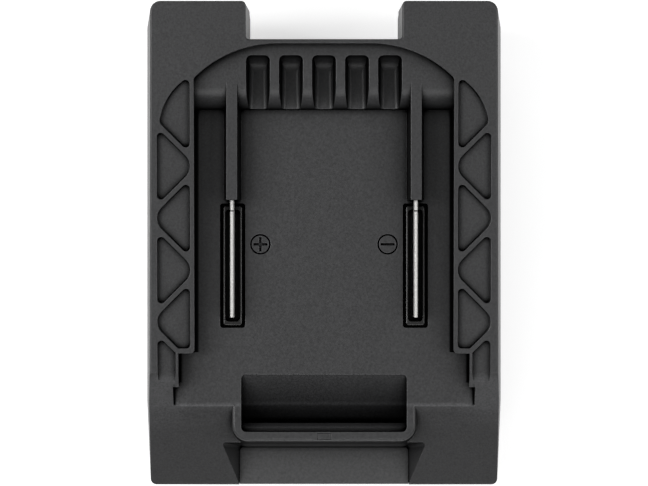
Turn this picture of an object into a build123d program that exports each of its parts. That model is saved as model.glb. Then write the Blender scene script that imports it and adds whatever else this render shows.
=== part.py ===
from build123d import *
import math
import os

# Tool battery adapter. X runs across, Y towards the closed end, Z up to the battery side.
# The origin is the middle of the footprint, on the plane that the tool-side foot rests on.

# Allowances shared by all cuts and fits
over = 2.0
fit = 0.1
running = 0.3

# Housing, overall
body_length = 106.5
body_width = 79.0
entry_end_width = 77.4
entry_taper_share = 0.17840
upper_height = 24.0
lower_height = 13.5
foot_height = 10.0
wall = 2.2
base_thickness = 2.5
upper_side_draft = 5.0
upper_end_draft = 1.0
lower_draft = 2.0
closed_corner_radius = 4.7
closed_corner_radius_top = 2.2
entry_corner_radius = 1.4
base_edge_chamfer = 1.2
top_edge_radius = 0.4
ear_corner_radius = 1.0
parting_inset = 0.25
parting_height = 0.35

# Battery-side channel and sloped entry end
channel_depth_share = 0.39583
rail_entry_height = 4.4
upper_slope_start_share = 0.24272
upper_slope_run_share = 0.06948
upper_slope_extra_share = 0.01596
slope_bend_radius = 20.0
floor_thickness = 2.5
slope_wall_drop = 3.0
lip_gap_share = 0.35570
lip_end_share = 0.28216
lip_end_radius = 0.9
groove_height = 2.8
groove_width_share = 0.40000
groove_end_share = 0.23662
lead_width_share = 0.41646
lead_start_share = 0.21268

# Sunken shelf at the closed end, with its finger hollows
shelf_depth = 3.3
arch_share = 0.08920
arch_flat_share = 0.12658
arch_radius_share = 0.32405
arch_corner_radius = 1.2
round_foot_share = 0.22066
hollow_count = 5
hollow_pitch_share = 0.09038
hollow_width_share = 0.06582
hollow_back_share = 0.11174
hollow_corner_radius = 1.2
hollow_low_height = 1.5
hollow_mouth_height = 0.3
hollow_mouth_length = 2.8
hollow_cove_radius = 3.4
hollow_wall_draft = 8.0
hollow_bottom_radius = 1.0

# Notch between the ears
notch_width_share = 0.21329
notch_depth_share = 0.08075
notch_corner_radius = 0.8
notch_upper_draft = 0.5
notch_lower_draft = 0.5

# Ribs that back up the blades
terminal_spacing_share = 0.25253
rib_width = 2.3
rib_end_gap = 0.1
rib_draft = 6.5

# Truss pockets in the rail tops
truss_count = 5
truss_pitch_share = 0.10563
truss_gap = 2.75
truss_width_share = 0.09063
truss_reach_share = 0.10759
truss_round_reach_share = 0.08392
truss_inner_share = 0.36646
truss_first_share = 0.23247
truss_corner_radius = 0.9
truss_wall_draft = 12.0
truss_round_tip = 1.5
truss_bulge = 1.0
truss_high_drop = 0.35
truss_lip_wall = 0.9
truss_depth = 1.0
truss_end_inner_share = 0.40700

# Polarity marks
mark_spacing_share = 0.17595
mark_station_share = 0.49577
mark_radius = 2.25
mark_line = 0.36
mark_depth = 0.45
mark_bar = 3.1
mark_bar_width = 0.55

# Latch pocket for the battery's hook, and the platform round it
pocket_width_share = 0.22911
pocket_start_share = 0.23756
pocket_wall_share = 0.11925
pocket_depth_share = 0.35417
pocket_ledge_depth = 3.2
pocket_ledge_width = 1.7
pocket_corner_radius = 1.1
pocket_ledge_rise = 0.9
platform_width_share = 0.25443
platform_front_share = 0.10094
platform_foot_share = 0.07887
platform_side_flare = 0.7
platform_corner_radius = 3.6
platform_edge_radius = 0.7
index_mark_length = 3.05
index_mark_width = 1.4
index_mark_line = 0.2
index_mark_depth = 0.25

# Thumb recess above the button
recess_width_share = 0.23987
recess_side_draft = 24.5
recess_corner_radius = 0.8
recess_back_step = 0.3

# Blades, with their feet under the inserts
blade_thickness = 0.8
blade_length_share = 0.23850
blade_start_share = 0.40610
blade_top_depth = 4.8
blade_cut_from_start = 2.15
blade_cut_width = 0.3
blade_cut_depth = 3.0
blade_tail_length = 12.0
blade_foot_reach = 10.0
blade_edge_chamfer = 0.2

# Inserts round the blades
insert_width = 5.3
insert_end_gap = 0.9
insert_start_gap = 0.7
insert_rim_inner_half = 1.64
insert_rim_outer_half = 2.08
insert_rim_drop = 1.4
insert_corner_radius = 0.55
insert_end_step = 0.4
insert_rim_radius = 0.3
insert_trench_depth = 4.5
insert_trench_end = 1.25
insert_boss_length = 5.5
insert_flange_thickness = 1.6
insert_flange_width = 8.0
insert_ear_reach = 6.6
insert_pad_width = 10.0
insert_pad_height = 5.0
insert_boss_radius = 2.8

# Housing screws and their bosses
screw_column_share = 0.42025
screw_row_shares = [0.07136, 0.46948, 0.84883]
screw_radius = 1.5
screw_head_radius = 2.8
screw_head_height = 2.0
screw_grip = 7.5
screw_engagement = 6.5
screw_bore_gap = 0.03
boss_radius = 3.6
recess_radius_gap = 0.3
drive_width = 0.8
drive_length = 2.6
drive_depth = 0.9
head_round_share = 0.33

# Small screws
small_screw_radius = 1.2
small_head_radius = 2.1
small_head_height = 1.5
small_screw_length = 4.5

# Tool-side foot, a slide with a flange on each side
foot_flange_share = 0.36709
foot_neck_share = 0.32911
foot_flange_thickness = 3.5
foot_closed_share = 0.10516
foot_entry_share = 0.25634
foot_wall = 2.2
foot_lead_chamfer = 2.0
foot_slot_half = 4.0
foot_slot_depth = 1.0
foot_slot_end = 6.0

# Terminal block and clips in the foot
tool_spacing_share = 0.17089
block_width_share = 0.27848
block_length_share = 0.24413
block_flange = 3.0
block_flange_thickness = 2.0
block_face_gap = 0.3
block_slot_width = 2.4
block_cavity_half = 3.1
block_front_wall = 3.0
block_skin = 1.6
clip_thickness = 0.6
clip_length_share = 0.53846
clip_root_half = 2.7
clip_pinch_half = 0.3
clip_mouth_half = 1.5
clip_pinch_height = 5.2
clip_mouth_height = 3.0
clip_knee_height = 9.5
clip_tab_share = 0.38462
clip_tab_width = 8.0
clip_slit_width = 0.8

# Straps between blades and clips
strap_thickness = 0.8
strap_width = 8.0
strap_overhang = 5.0
strap_riser_lead = 8.5

# Retainer over the block
retainer_width_share = 0.39241
retainer_thickness = 2.0
retainer_rim = 2.0
retainer_window_gap = 1.0
retainer_screw_share = 0.35443

# Latch slide, thumb button and springs
slide_width_share = 0.21519
slide_thickness = 2.5
slide_end_share = 0.22066
hook_width_share = 0.13924
hook_front_share = 0.20845
hook_back_share = 0.14742
hook_flat = 1.5
hook_reach = 6.0
hook_ramp_start = 0.5
button_face_gap = 0.1
button_skirt = 1.2
button_grip_count = 4
button_grip_depth = 0.5
button_grip_width = 1.0
bay_wall = 2.0
spring_spacing_share = 0.13291
spring_station_share = 0.16901
spring_radius = 2.6
spring_wire = 0.7
spring_turns = 5
spring_seat_gap = 0.1
spring_post_radius = 1.7
spring_post_height = 3.0
seat_post_height = 2.0
latch_screw_share = 0.15190

# Sizes and places across the body, from its width
lip_half_gap = body_width * lip_gap_share
groove_half_width = body_width * groove_width_share
lead_half_width = body_width * lead_width_share
arch_flat_half = body_width * arch_flat_share
arch_radius = body_width * arch_radius_share
hollow_pitch = body_width * hollow_pitch_share
hollow_width = body_width * hollow_width_share
notch_half_width = body_width * notch_width_share
terminal_half_spacing = body_width * terminal_spacing_share
truss_width = body_width * truss_width_share
truss_reach = body_width * truss_reach_share
truss_round_reach = body_width * truss_round_reach_share
truss_inner_half = body_width * truss_inner_share
truss_end_inner_half = body_width * truss_end_inner_share
mark_half_spacing = body_width * mark_spacing_share
pocket_half_width = body_width * pocket_width_share
platform_half_width = body_width * platform_width_share
recess_half_width = body_width * recess_width_share
screw_column_half = body_width * screw_column_share
foot_flange_half = body_width * foot_flange_share
foot_neck_half = body_width * foot_neck_share
tool_half_spacing = body_width * tool_spacing_share
block_half_width = body_width * block_width_share
retainer_half_width = body_width * retainer_width_share
retainer_screw_half = body_width * retainer_screw_share
slide_half_width = body_width * slide_width_share
hook_half_width = body_width * hook_width_share
spring_half_spacing = body_width * spring_spacing_share
latch_screw_half = body_width * latch_screw_share

# Sizes and places along the body, from its length
entry_taper_length = body_length * entry_taper_share
upper_slope_start = body_length * upper_slope_start_share
upper_slope_run = body_length * upper_slope_run_share
upper_slope_extra = body_length * upper_slope_extra_share
lip_end_from_entry = body_length * lip_end_share
groove_end_from_closed = body_length * groove_end_share
lead_start_from_entry = body_length * lead_start_share
arch_from_closed = body_length * arch_share
round_foot_from_closed = body_length * round_foot_share
hollow_back_from_closed = body_length * hollow_back_share
notch_depth = body_length * notch_depth_share
truss_pitch = body_length * truss_pitch_share
truss_first_from_closed = body_length * truss_first_share
mark_from_closed = body_length * mark_station_share
pocket_start_from_entry = body_length * pocket_start_share
pocket_wall_from_entry = body_length * pocket_wall_share
platform_front_from_entry = body_length * platform_front_share
platform_foot_from_entry = body_length * platform_foot_share
blade_length = body_length * blade_length_share
blade_start_from_closed = body_length * blade_start_share
foot_closed_gap = body_length * foot_closed_share
foot_entry_gap = body_length * foot_entry_share
block_length = body_length * block_length_share
slide_end_from_entry = body_length * slide_end_share
hook_front_from_entry = body_length * hook_front_share
hook_back_from_entry = body_length * hook_back_share
spring_from_entry = body_length * spring_station_share
screw_row_from_closed = [body_length * share for share in screw_row_shares]
insert_length = insert_start_gap + blade_length + insert_end_gap
clip_length = block_length * clip_length_share
clip_tab_length = block_length * clip_tab_share

# Depths below the top, from the height of the upper shell
channel_depth = upper_height * channel_depth_share
pocket_depth = upper_height * pocket_depth_share

# Levels and stations that follow from the sizes above
half_length = body_length / 2
plate_z = foot_height
part_z = plate_z + lower_height
top_z = part_z + upper_height
base_z = plate_z + base_thickness
floor_z = top_z - channel_depth
shelf_z = top_z - shelf_depth
ceiling_z = floor_z - floor_thickness
crease_y = upper_slope_start - half_length
floor_end_y = crease_y - upper_slope_run
bend_y = floor_end_y - upper_slope_extra
upper_slope = rail_entry_height / upper_slope_run
bend_z = floor_z - upper_slope_extra * upper_slope
lower_slope = (bend_z - part_z) / (bend_y + half_length)
rail_fall = (channel_depth - rail_entry_height) / (half_length - crease_y)
arch_y = half_length - arch_from_closed
round_radius = shelf_z - floor_z
round_foot_y = half_length - round_foot_from_closed
round_top_y = round_foot_y + round_radius
notch_y = half_length - notch_depth
blade_start_y = half_length - blade_start_from_closed
blade_end_y = blade_start_y - blade_length
blade_top_z = top_z - blade_top_depth
insert_seat_z = ceiling_z - insert_boss_length
insert_bottom_z = insert_seat_z - insert_flange_thickness
insert_start_y = blade_start_y - insert_start_gap
insert_end_y = insert_start_y - insert_length
insert_middle_y = (insert_start_y + insert_end_y) / 2
platform_front_y = platform_front_from_entry - half_length
platform_foot_y = platform_foot_from_entry - half_length
pocket_start_y = pocket_start_from_entry - half_length
pocket_wall_y = pocket_wall_from_entry - half_length
pocket_bottom_z = floor_z - pocket_depth
pocket_block_z = pocket_bottom_z - wall
foot_closed_y = half_length - foot_closed_gap
foot_entry_y = foot_entry_gap - half_length
block_front_y = foot_closed_y
block_back_y = block_front_y - block_length
block_top_z = base_z + block_flange_thickness
clip_front_y = block_front_y - block_front_wall - running
clip_back_y = clip_front_y - clip_length
clip_screw_y = clip_back_y - clip_tab_length / 2
clip_top_z = block_top_z + clip_thickness
strap_low_z = clip_top_z
strap_high_z = insert_bottom_z - blade_thickness - strap_thickness
retainer_y = clip_back_y + clip_length / 2
retainer_half_length = clip_length / 2 + retainer_rim
retainer_z = block_top_z
slide_z = base_z + running
slide_top_z = slide_z + slide_thickness
slide_end_y = slide_end_from_entry - half_length
spring_y = spring_from_entry - half_length
screw_seat_z = part_z - screw_grip
side_mirror = Plane.YZ


def block(x0, x1, y0, y1, z0, z1):
    """Box between two corners."""
    centre = Pos((x0 + x1) / 2, (y0 + y1) / 2, (z0 + z1) / 2)
    return centre * Box(abs(x1 - x0), abs(y1 - y0), abs(z1 - z0))


def upright(x, y, z0, z1, radius):
    """Vertical cylinder between two levels."""
    return Pos(x, y, (z0 + z1) / 2) * Cylinder(radius, z1 - z0)


def lift(plan, z0, z1):
    """Prism over a flat plan, from one level to another."""
    return extrude(Pos(0, 0, z0) * plan, amount=z1 - z0, dir=(0, 0, 1))


def side_prism(profile, half_width):
    """Prism across X over a profile drawn in Y and Z."""
    return extrude(Plane.YZ * profile, amount=half_width, both=True)


def end_prism(profile, y0, y1):
    """Prism along Y over a profile drawn in X and Z."""
    placed = Pos(0, y0, 0) * (Plane.XZ * profile)
    return extrude(placed, amount=y1 - y0, dir=(0, 1, 0))


def both_sides(solid):
    """The solid and its mirror image across the middle plane."""
    return solid + mirror(solid, about=side_mirror)


def mirrored(solid, sign):
    """The solid as drawn for +X, or its mirror image for -X."""
    return solid if sign > 0 else mirror(solid, about=side_mirror)


def rail_top_z(y):
    """Level of the gently falling rail tops."""
    return top_z - (half_length - y) * rail_fall


def shell_plan(inset, end_inset, closed_radius, entry_radius):
    """Outline of the housing seen from above, drawn in by the insets."""
    side = body_width / 2 - inset
    entry_side = entry_end_width / 2 - inset
    closed_y = half_length - end_inset
    entry_y = end_inset - half_length
    taper_y = entry_taper_length - half_length
    right = [(entry_side, entry_y), (side, taper_y), (side, closed_y)]
    left = [(-x, y) for x, y in reversed(right)]
    plan = Polygon(*right, *left)
    plan = fillet(plan.vertices().group_by(Axis.Y)[-1], closed_radius)
    return fillet(plan.vertices().group_by(Axis.Y)[0], entry_radius)


def drafted(plan_low, z_low, plan_high, z_high):
    """Solid between two like plans at two levels."""
    return loft([Pos(0, 0, z_low) * plan_low, Pos(0, 0, z_high) * plan_high], ruled=True)


def rectangle_plan(half_width, y0, y1, radius, corner_group):
    """Rectangle with the two corners at one end rounded."""
    plan = Polygon((-half_width, y0), (half_width, y0), (half_width, y1), (-half_width, y1))
    return fillet(plan.vertices().group_by(Axis.Y)[corner_group], radius)


def upper_envelope():
    """Drafted outside of the upper shell, cut to the falling top and the entry slope."""
    side_inset = upper_height * math.tan(math.radians(upper_side_draft))
    end_inset = upper_height * math.tan(math.radians(upper_end_draft))
    low = shell_plan(0, 0, closed_corner_radius, entry_corner_radius)
    high = shell_plan(side_inset, end_inset, closed_corner_radius_top, entry_corner_radius)
    solid = drafted(low, part_z, high, top_z)
    profile = Polygon(
        (half_length + over, part_z - over),
        (half_length + over, rail_top_z(half_length + over)),
        (crease_y, rail_top_z(crease_y)),
        (bend_y, bend_z),
        (-half_length, part_z),
        (-half_length, part_z - over),
    )
    bend = profile.vertices().sort_by_distance((bend_y, bend_z, 0))[0]
    profile = fillet(bend, slope_bend_radius)
    return solid & side_prism(profile, body_width)


def notch_cut(z_low, z_high, draft_up):
    """Drafted gap between the ears, for one shell."""
    spread = (z_high - z_low) * math.tan(math.radians(abs(draft_up)))
    narrow = notch_half_width - spread
    low_half = narrow if draft_up > 0 else notch_half_width
    high_half = notch_half_width if draft_up > 0 else narrow
    low = rectangle_plan(low_half, notch_y, half_length + over, notch_corner_radius, 0)
    high = rectangle_plan(high_half, notch_y, half_length + over, notch_corner_radius, 0)
    return drafted(low, z_low, high, z_high)


def rounded_ears(body, z_low, z_high):
    """The body with the inner corners of its two ears rounded."""
    middle_z = (z_low + z_high) / 2
    places = [(sign * notch_half_width, half_length, middle_z) for sign in (-1, 1)]
    corners = [body.edges().sort_by_distance(place)[0] for place in places]
    return fillet(corners, ear_corner_radius)


def upper_body():
    """Outside of the upper shell with its notch, rounded where hands meet it."""
    body = upper_envelope() - notch_cut(part_z - over, top_z + over, notch_upper_draft)
    body = rounded_ears(body, part_z, top_z)
    crown = body.faces().sort_by(Axis.Z)[-1]
    rim = crown.edges().sort_by(Axis.Y)[1:]
    return fillet(rim, top_edge_radius)


def notch_wall_block(z_low, z_high):
    """Room that the inner cavities leave for the walls round the notch."""
    half = notch_half_width + wall
    return block(-half, half, notch_y - wall, half_length, z_low, z_high)


def channel_plan():
    """Open part of the battery channel, stepped wider towards the entry."""
    lip_y = lip_end_from_entry - half_length
    lead_y = lead_start_from_entry - half_length
    right = [
        (lead_half_width, -half_length - over),
        (lead_half_width, lead_y),
        (groove_half_width, lead_y),
        (groove_half_width, lip_y),
        (lip_half_gap, lip_y),
        (lip_half_gap, round_top_y),
    ]
    left = [(-x, y) for x, y in reversed(right)]
    plan = Polygon(*right, *left)
    corners = [(lip_half_gap, lip_y, 0), (-lip_half_gap, lip_y, 0)]
    picked = [plan.vertices().sort_by_distance(corner)[0] for corner in corners]
    return fillet(picked, lip_end_radius)


def channel_profile():
    """Side view of the channel, with the quarter-round that ends it."""
    foot = (round_foot_y, floor_z)
    crown = (round_top_y, shelf_z)
    high_z = top_z + over
    reach = round_radius * math.sqrt(1 / 2)
    middle = (round_top_y - reach, floor_z + reach)
    low_y = -half_length - over
    edges = ThreePointArc(foot, middle, crown)
    edges += Polyline(crown, (round_top_y, high_z), (low_y, high_z), (low_y, floor_z), foot)
    return make_face(edges.edges())


def shelf_plan():
    """Arched outline of the sunken shelf."""
    run = lip_half_gap - arch_flat_half
    drop = arch_radius - math.sqrt(arch_radius**2 - run**2)
    turn = math.asin(run / arch_radius)
    middle_x = arch_flat_half + arch_radius * math.sin(turn / 2)
    middle_y = arch_y - arch_radius * (1 - math.cos(turn / 2))
    shoulder_y = arch_y - drop
    edges = Line((-arch_flat_half, arch_y), (arch_flat_half, arch_y))
    edges += ThreePointArc((arch_flat_half, arch_y), (middle_x, middle_y), (lip_half_gap, shoulder_y))
    edges += Polyline(
        (lip_half_gap, shoulder_y),
        (lip_half_gap, round_foot_y),
        (-lip_half_gap, round_foot_y),
        (-lip_half_gap, shoulder_y),
    )
    edges += ThreePointArc((-lip_half_gap, shoulder_y), (-middle_x, middle_y), (-arch_flat_half, arch_y))
    plan = make_face(edges.edges())
    corners = [(lip_half_gap, shoulder_y, 0), (-lip_half_gap, shoulder_y, 0)]
    picked = [plan.vertices().sort_by_distance(corner)[0] for corner in corners]
    return fillet(picked, arch_corner_radius)


def channel_cut():
    """Everything that is cleared for the battery's slide."""
    open_part = lift(channel_plan(), floor_z, top_z + over) & side_prism(channel_profile(), body_width)
    shelf = lift(shelf_plan(), shelf_z, top_z + over)
    groove_y = half_length - groove_end_from_closed
    groove_low_y = -half_length - over
    groove_z = floor_z + groove_height
    groove = block(-groove_half_width, groove_half_width, groove_low_y, groove_y, floor_z, groove_z)
    return open_part + shelf + groove


def hollow_profile():
    """Side view of a finger hollow: a coved back, a level floor, then a slope down to its mouth."""
    back_y = half_length - hollow_back_from_closed
    low_z = floor_z + hollow_low_height
    mouth_z = floor_z + hollow_mouth_height
    front_y = round_foot_y
    cove = hollow_cove_radius
    reach = cove * math.sqrt(1 / 2)
    cove_y = back_y - cove
    middle = (cove_y + reach, low_z + cove - reach)
    edges = ThreePointArc((back_y, low_z + cove), middle, (cove_y, low_z))
    edges += Polyline(
        (cove_y, low_z),
        (front_y + hollow_mouth_length, low_z),
        (front_y, mouth_z),
        (front_y - over, mouth_z),
        (front_y - over, shelf_z + over),
        (back_y, shelf_z + over),
        (back_y, low_z + cove),
    )
    return make_face(edges.edges())


def hollow_section():
    """End view of a finger hollow, with drafted walls and a rounded bottom."""
    half = hollow_width / 2
    low_z = floor_z + hollow_low_height
    lean = math.tan(math.radians(hollow_wall_draft))
    low_half = half - (shelf_z - low_z) * lean
    high_half = half + over * lean
    high_z = shelf_z + over
    section = Polygon((-low_half, low_z), (low_half, low_z), (high_half, high_z), (-high_half, high_z))
    bottom = section.vertices().group_by(Axis.Y)[0]
    return fillet(bottom, hollow_bottom_radius)


def hollow_cuts():
    """Row of finger hollows in the shelf."""
    back_y = half_length - hollow_back_from_closed
    low_y = round_foot_y - over
    plan = rectangle_plan(hollow_width / 2, low_y, back_y, hollow_corner_radius, -1)
    one = lift(plan, floor_z, shelf_z + over) & side_prism(hollow_profile(), hollow_width)
    one = one & end_prism(hollow_section(), low_y - over, back_y + over)
    first_x = -hollow_pitch * (hollow_count - 1) / 2
    cuts = Part()
    for index in range(hollow_count):
        cuts += Pos(first_x + index * hollow_pitch, 0, 0) * one
    return cuts


def rib(sign):
    """Drafted rib that carries on from the shelf and backs up one blade."""
    half = rib_width / 2
    root_z = floor_z - floor_thickness / 2
    root_half = half + (shelf_z - root_z) * math.tan(math.radians(rib_draft))
    profile = Polygon((-root_half, root_z), (root_half, root_z), (half, shelf_z), (-half, shelf_z))
    placed = Pos(sign * terminal_half_spacing, 0) * profile
    return end_prism(placed, blade_start_y + rib_end_gap, round_top_y)


def truss_triangle(index):
    """One pocket of the truss pattern on the right rail: a triangle whose point is cut round."""
    base_half = truss_pitch - truss_gap
    centre_y = -truss_first_from_closed - index * truss_pitch
    base_x, side = (truss_inner_half, 1) if index % 2 == 0 else (truss_inner_half + truss_width, -1)
    low_y = centre_y - base_half
    if index == 0:
        high = (base_x, centre_y + base_half - truss_high_drop)
        tip = (base_x + truss_round_reach, low_y + truss_round_reach * base_half / truss_reach)
        corners = [(base_x, low_y), high]
        middle_x = (high[0] + tip[0]) / 2 + truss_bulge
        middle_y = (high[1] + tip[1]) / 2 + truss_bulge
        edges = ThreePointArc(tip, (middle_x, middle_y), high)
        edges += Polyline(high, corners[0], tip)
        plan = make_face(edges.edges())
        tip_radius = truss_round_tip
    else:
        tip = (base_x + side * truss_reach, centre_y)
        corners = [(base_x, low_y), (base_x, centre_y + base_half)]
        rail_end_y = lip_end_from_entry + truss_lip_wall - body_length
        if low_y < rail_end_y:
            cut_x = base_x + side * (rail_end_y - low_y) * truss_reach / base_half
            corners = [(cut_x, rail_end_y), (base_x, rail_end_y), corners[1]]
        plan = Polygon(*corners, tip)
        slant = Vector(truss_reach, base_half).length
        tip_radius = (truss_reach - truss_width) / (slant / base_half - 1)
    plan = fillet(plan.vertices().sort_by_distance((*tip, 0))[0], tip_radius)
    sharp = [plan.vertices().sort_by_distance((*corner, 0))[0] for corner in corners]
    return fillet(sharp, truss_corner_radius)


def truss_end():
    """Last pocket, squared off by the lead-in and running out through the slope."""
    base_half = truss_pitch - truss_gap
    outer_half = truss_inner_half + truss_width
    centre_y = -truss_first_from_closed - truss_count * truss_pitch
    high_y = centre_y + base_half
    inner_y = high_y - (outer_half - truss_end_inner_half) * base_half / truss_reach
    low_y = centre_y - truss_depth / upper_slope - truss_depth
    points = [(outer_half, low_y), (outer_half, high_y), (truss_end_inner_half, inner_y)]
    plan = Polygon(*points, (truss_end_inner_half, low_y))
    return fillet(plan.vertices().group_by(Axis.Y)[-1], truss_corner_radius)


def truss_cuts():
    """Shallow pockets with drafted walls, laid out on the plane of the falling rail tops."""
    tops = Plane(origin=(0, half_length, top_z), x_dir=(1, 0, 0), z_dir=(0, -rail_fall, 1))
    plans = [truss_triangle(index) for index in range(truss_count)]
    plans.append(truss_end())
    pockets = Part()
    for plan in plans:
        pockets += extrude(plan, amount=truss_depth, dir=(0, 0, -1), taper=truss_wall_draft)
        pockets += extrude(plan, amount=over, dir=(0, 0, 1))
    return both_sides(tops.location * pockets)


def polarity_marks():
    """Engraved rings with a plus on the left and a minus on the right."""
    y = half_length - mark_from_closed
    ring = Circle(mark_radius) - Circle(mark_radius - mark_line)
    bar = Rectangle(mark_bar, mark_bar_width)
    upright_bar = Rectangle(mark_bar_width, mark_bar)
    plus = Pos(-mark_half_spacing, y) * (ring + bar + upright_bar)
    minus = Pos(mark_half_spacing, y) * (ring + bar)
    return lift(plus + minus, floor_z - mark_depth, floor_z + over)


def platform():
    """Raised block round the latch pocket, standing out of the slope."""
    back_y = crease_y
    foot_half = platform_half_width + platform_side_flare
    low = rectangle_plan(foot_half, platform_foot_y, back_y, platform_corner_radius, 0)
    high = rectangle_plan(platform_half_width, platform_front_y, back_y, platform_corner_radius, 0)
    solid = drafted(low, part_z, high, floor_z)
    brim = solid.faces().sort_by(Axis.Z)[-1].edges().sort_by(Axis.Y)[:-1]
    solid = fillet(brim, platform_edge_radius)
    clear = block(-foot_half, foot_half, back_y, pocket_wall_y - over, part_z, pocket_block_z)
    return solid - clear


def pocket_cut():
    """Pocket for the battery's hook: ramp down, then a ledge and the locking wall."""
    ledge_y = pocket_wall_y + pocket_ledge_width
    step_y = pocket_wall_y + pocket_ledge_width / 2
    ledge_z = floor_z - pocket_ledge_depth
    profile = Polygon(
        (pocket_start_y, floor_z),
        (pocket_start_y, floor_z + over),
        (pocket_wall_y, floor_z + over),
        (pocket_wall_y, ledge_z),
        (step_y, ledge_z),
        (ledge_y, ledge_z - pocket_ledge_rise),
        (ledge_y, pocket_bottom_z),
    )
    plan = Polygon(
        (-pocket_half_width, pocket_wall_y),
        (pocket_half_width, pocket_wall_y),
        (pocket_half_width, pocket_start_y),
        (-pocket_half_width, pocket_start_y),
    )
    plan = fillet(plan.vertices(), pocket_corner_radius)
    return lift(plan, pocket_bottom_z - over, floor_z + over) & side_prism(profile, body_width)


def index_mark():
    """Small engraved rectangle on the platform's front bar."""
    y = (pocket_wall_y + platform_front_y) / 2
    inner_length = index_mark_length - index_mark_line
    inner_width = index_mark_width - index_mark_line
    frame = Rectangle(index_mark_length, index_mark_width) - Rectangle(inner_length, inner_width)
    return lift(Pos(0, y) * frame, floor_z - index_mark_depth, floor_z + over)


def recess_cut():
    """Thumb recess in the slope, widening upwards."""
    rise = floor_z - part_z
    flare = rise * math.tan(math.radians(recess_side_draft))
    low_y = platform_foot_y + recess_back_step
    high_y = platform_front_y + recess_back_step
    entry_y = -half_length - over
    low = rectangle_plan(recess_half_width, entry_y, low_y, recess_corner_radius, -1)
    high = rectangle_plan(recess_half_width + flare, entry_y, high_y, recess_corner_radius, -1)
    below = lift(low, part_z - over, part_z)
    return drafted(low, part_z, high, floor_z) + below


def recess_walls():
    """Material that closes the thumb recess off from the inside of the shell."""
    rise = floor_z - part_z
    half = recess_half_width + rise * math.tan(math.radians(recess_side_draft)) + wall
    return block(-half, half, -half_length, platform_front_y + wall, part_z, floor_z)


def cavity_profile(low_z):
    """Side view of the upper shell's inside, kept clear of the slope."""
    ceiling_y = (ceiling_z + slope_wall_drop - part_z) / lower_slope - half_length
    foot_y = (low_z + slope_wall_drop - part_z) / lower_slope - half_length
    closed_y = half_length + over
    return Polygon((closed_y, low_z), (closed_y, ceiling_z), (ceiling_y, ceiling_z), (foot_y, low_z))


def upper_cavity():
    """Inside of the upper shell, with deeper pockets under the ears."""
    rise = ceiling_z - part_z
    side_inset = wall + rise * math.tan(math.radians(upper_side_draft))
    end_inset = wall + rise * math.tan(math.radians(upper_end_draft))
    inner_radius = closed_corner_radius - wall
    low = shell_plan(wall, wall, inner_radius, entry_corner_radius)
    high = shell_plan(side_inset, end_inset, inner_radius, entry_corner_radius)
    solid = drafted(low, part_z, high, ceiling_z) & side_prism(cavity_profile(part_z), body_width)
    ear_low_y = arch_y - arch_from_closed
    ear_high_y = half_length - wall - wall
    ear_low_x = notch_half_width + wall
    ear = block(ear_low_x, screw_column_half, ear_low_y, ear_high_y, part_z, shelf_z - wall)
    return solid + both_sides(ear) - notch_wall_block(part_z, top_z)


def screw_places():
    """Axes of the six housing screws."""
    places = []
    for from_closed in screw_row_from_closed:
        for sign in (-1, 1):
            places.append((sign * screw_column_half, half_length - from_closed))
    return places


def insert_ear_places(sign):
    """Axes of the two screws that hold one insert."""
    x = sign * terminal_half_spacing
    reach = insert_length / 2 + insert_ear_reach / 2
    return [(x, insert_middle_y - reach), (x, insert_middle_y + reach)]


def upper_shell():
    """Battery-side half of the housing."""
    shell = upper_body()
    shell -= upper_cavity()
    shell += recess_walls() & upper_envelope()
    for x, y in screw_places():
        shell += upright(x, y, part_z, ceiling_z, boss_radius) & upper_envelope()
    for sign in (-1, 1):
        for x, y in insert_ear_places(sign):
            shell += upright(x, y, insert_seat_z, ceiling_z + over / 2, insert_boss_radius)
    shell -= recess_cut()
    shell -= channel_cut()
    shell += platform()
    shell -= pocket_cut()
    shell -= hollow_cuts()
    for sign in (-1, 1):
        shell += rib(sign)
        shell += upright(sign * spring_half_spacing, spring_y, pocket_block_z - seat_post_height,
                         pocket_block_z, spring_post_radius)
    shell -= truss_cuts()
    shell -= polarity_marks()
    shell -= index_mark()
    bore = screw_radius + screw_bore_gap
    for x, y in screw_places():
        shell -= upright(x, y, part_z - over, part_z + screw_engagement + running, bore)
    window_half = insert_width / 2 + fit
    small_bore = small_screw_radius + screw_bore_gap
    bore_top_z = insert_seat_z + small_screw_length - insert_flange_thickness + running
    for sign in (-1, 1):
        x = sign * terminal_half_spacing
        window = block(x - window_half, x + window_half, insert_end_y - fit, insert_start_y + fit,
                       insert_seat_z, floor_z + over)
        shell -= fillet(window.edges().filter_by(Axis.Z), insert_corner_radius + fit)
        for ear_x, ear_y in insert_ear_places(sign):
            shell -= upright(ear_x, ear_y, insert_seat_z - over, bore_top_z, small_bore)
    return shell


def lower_envelope():
    """Drafted outside of the lower shell's tray, bevelled round its base."""
    bevel = base_edge_chamfer
    knee_inset = (lower_height - bevel) * math.tan(math.radians(lower_draft))
    base_inset = knee_inset + bevel
    low = shell_plan(base_inset, base_inset, closed_corner_radius, entry_corner_radius)
    knee = shell_plan(knee_inset, knee_inset, closed_corner_radius, entry_corner_radius)
    high = shell_plan(0, 0, closed_corner_radius, entry_corner_radius)
    lip = shell_plan(parting_inset, parting_inset, closed_corner_radius, entry_corner_radius)
    knee_z = plate_z + bevel
    lip_z = part_z - parting_height
    tray = drafted(low, plate_z, knee, knee_z) + drafted(knee, knee_z, high, lip_z)
    return tray + lift(lip, lip_z, part_z)


def lower_body():
    """Outside of the lower shell's tray with its notch."""
    body = lower_envelope() - notch_cut(plate_z - over, part_z + over, -notch_lower_draft)
    return rounded_ears(body, plate_z, part_z)


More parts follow.
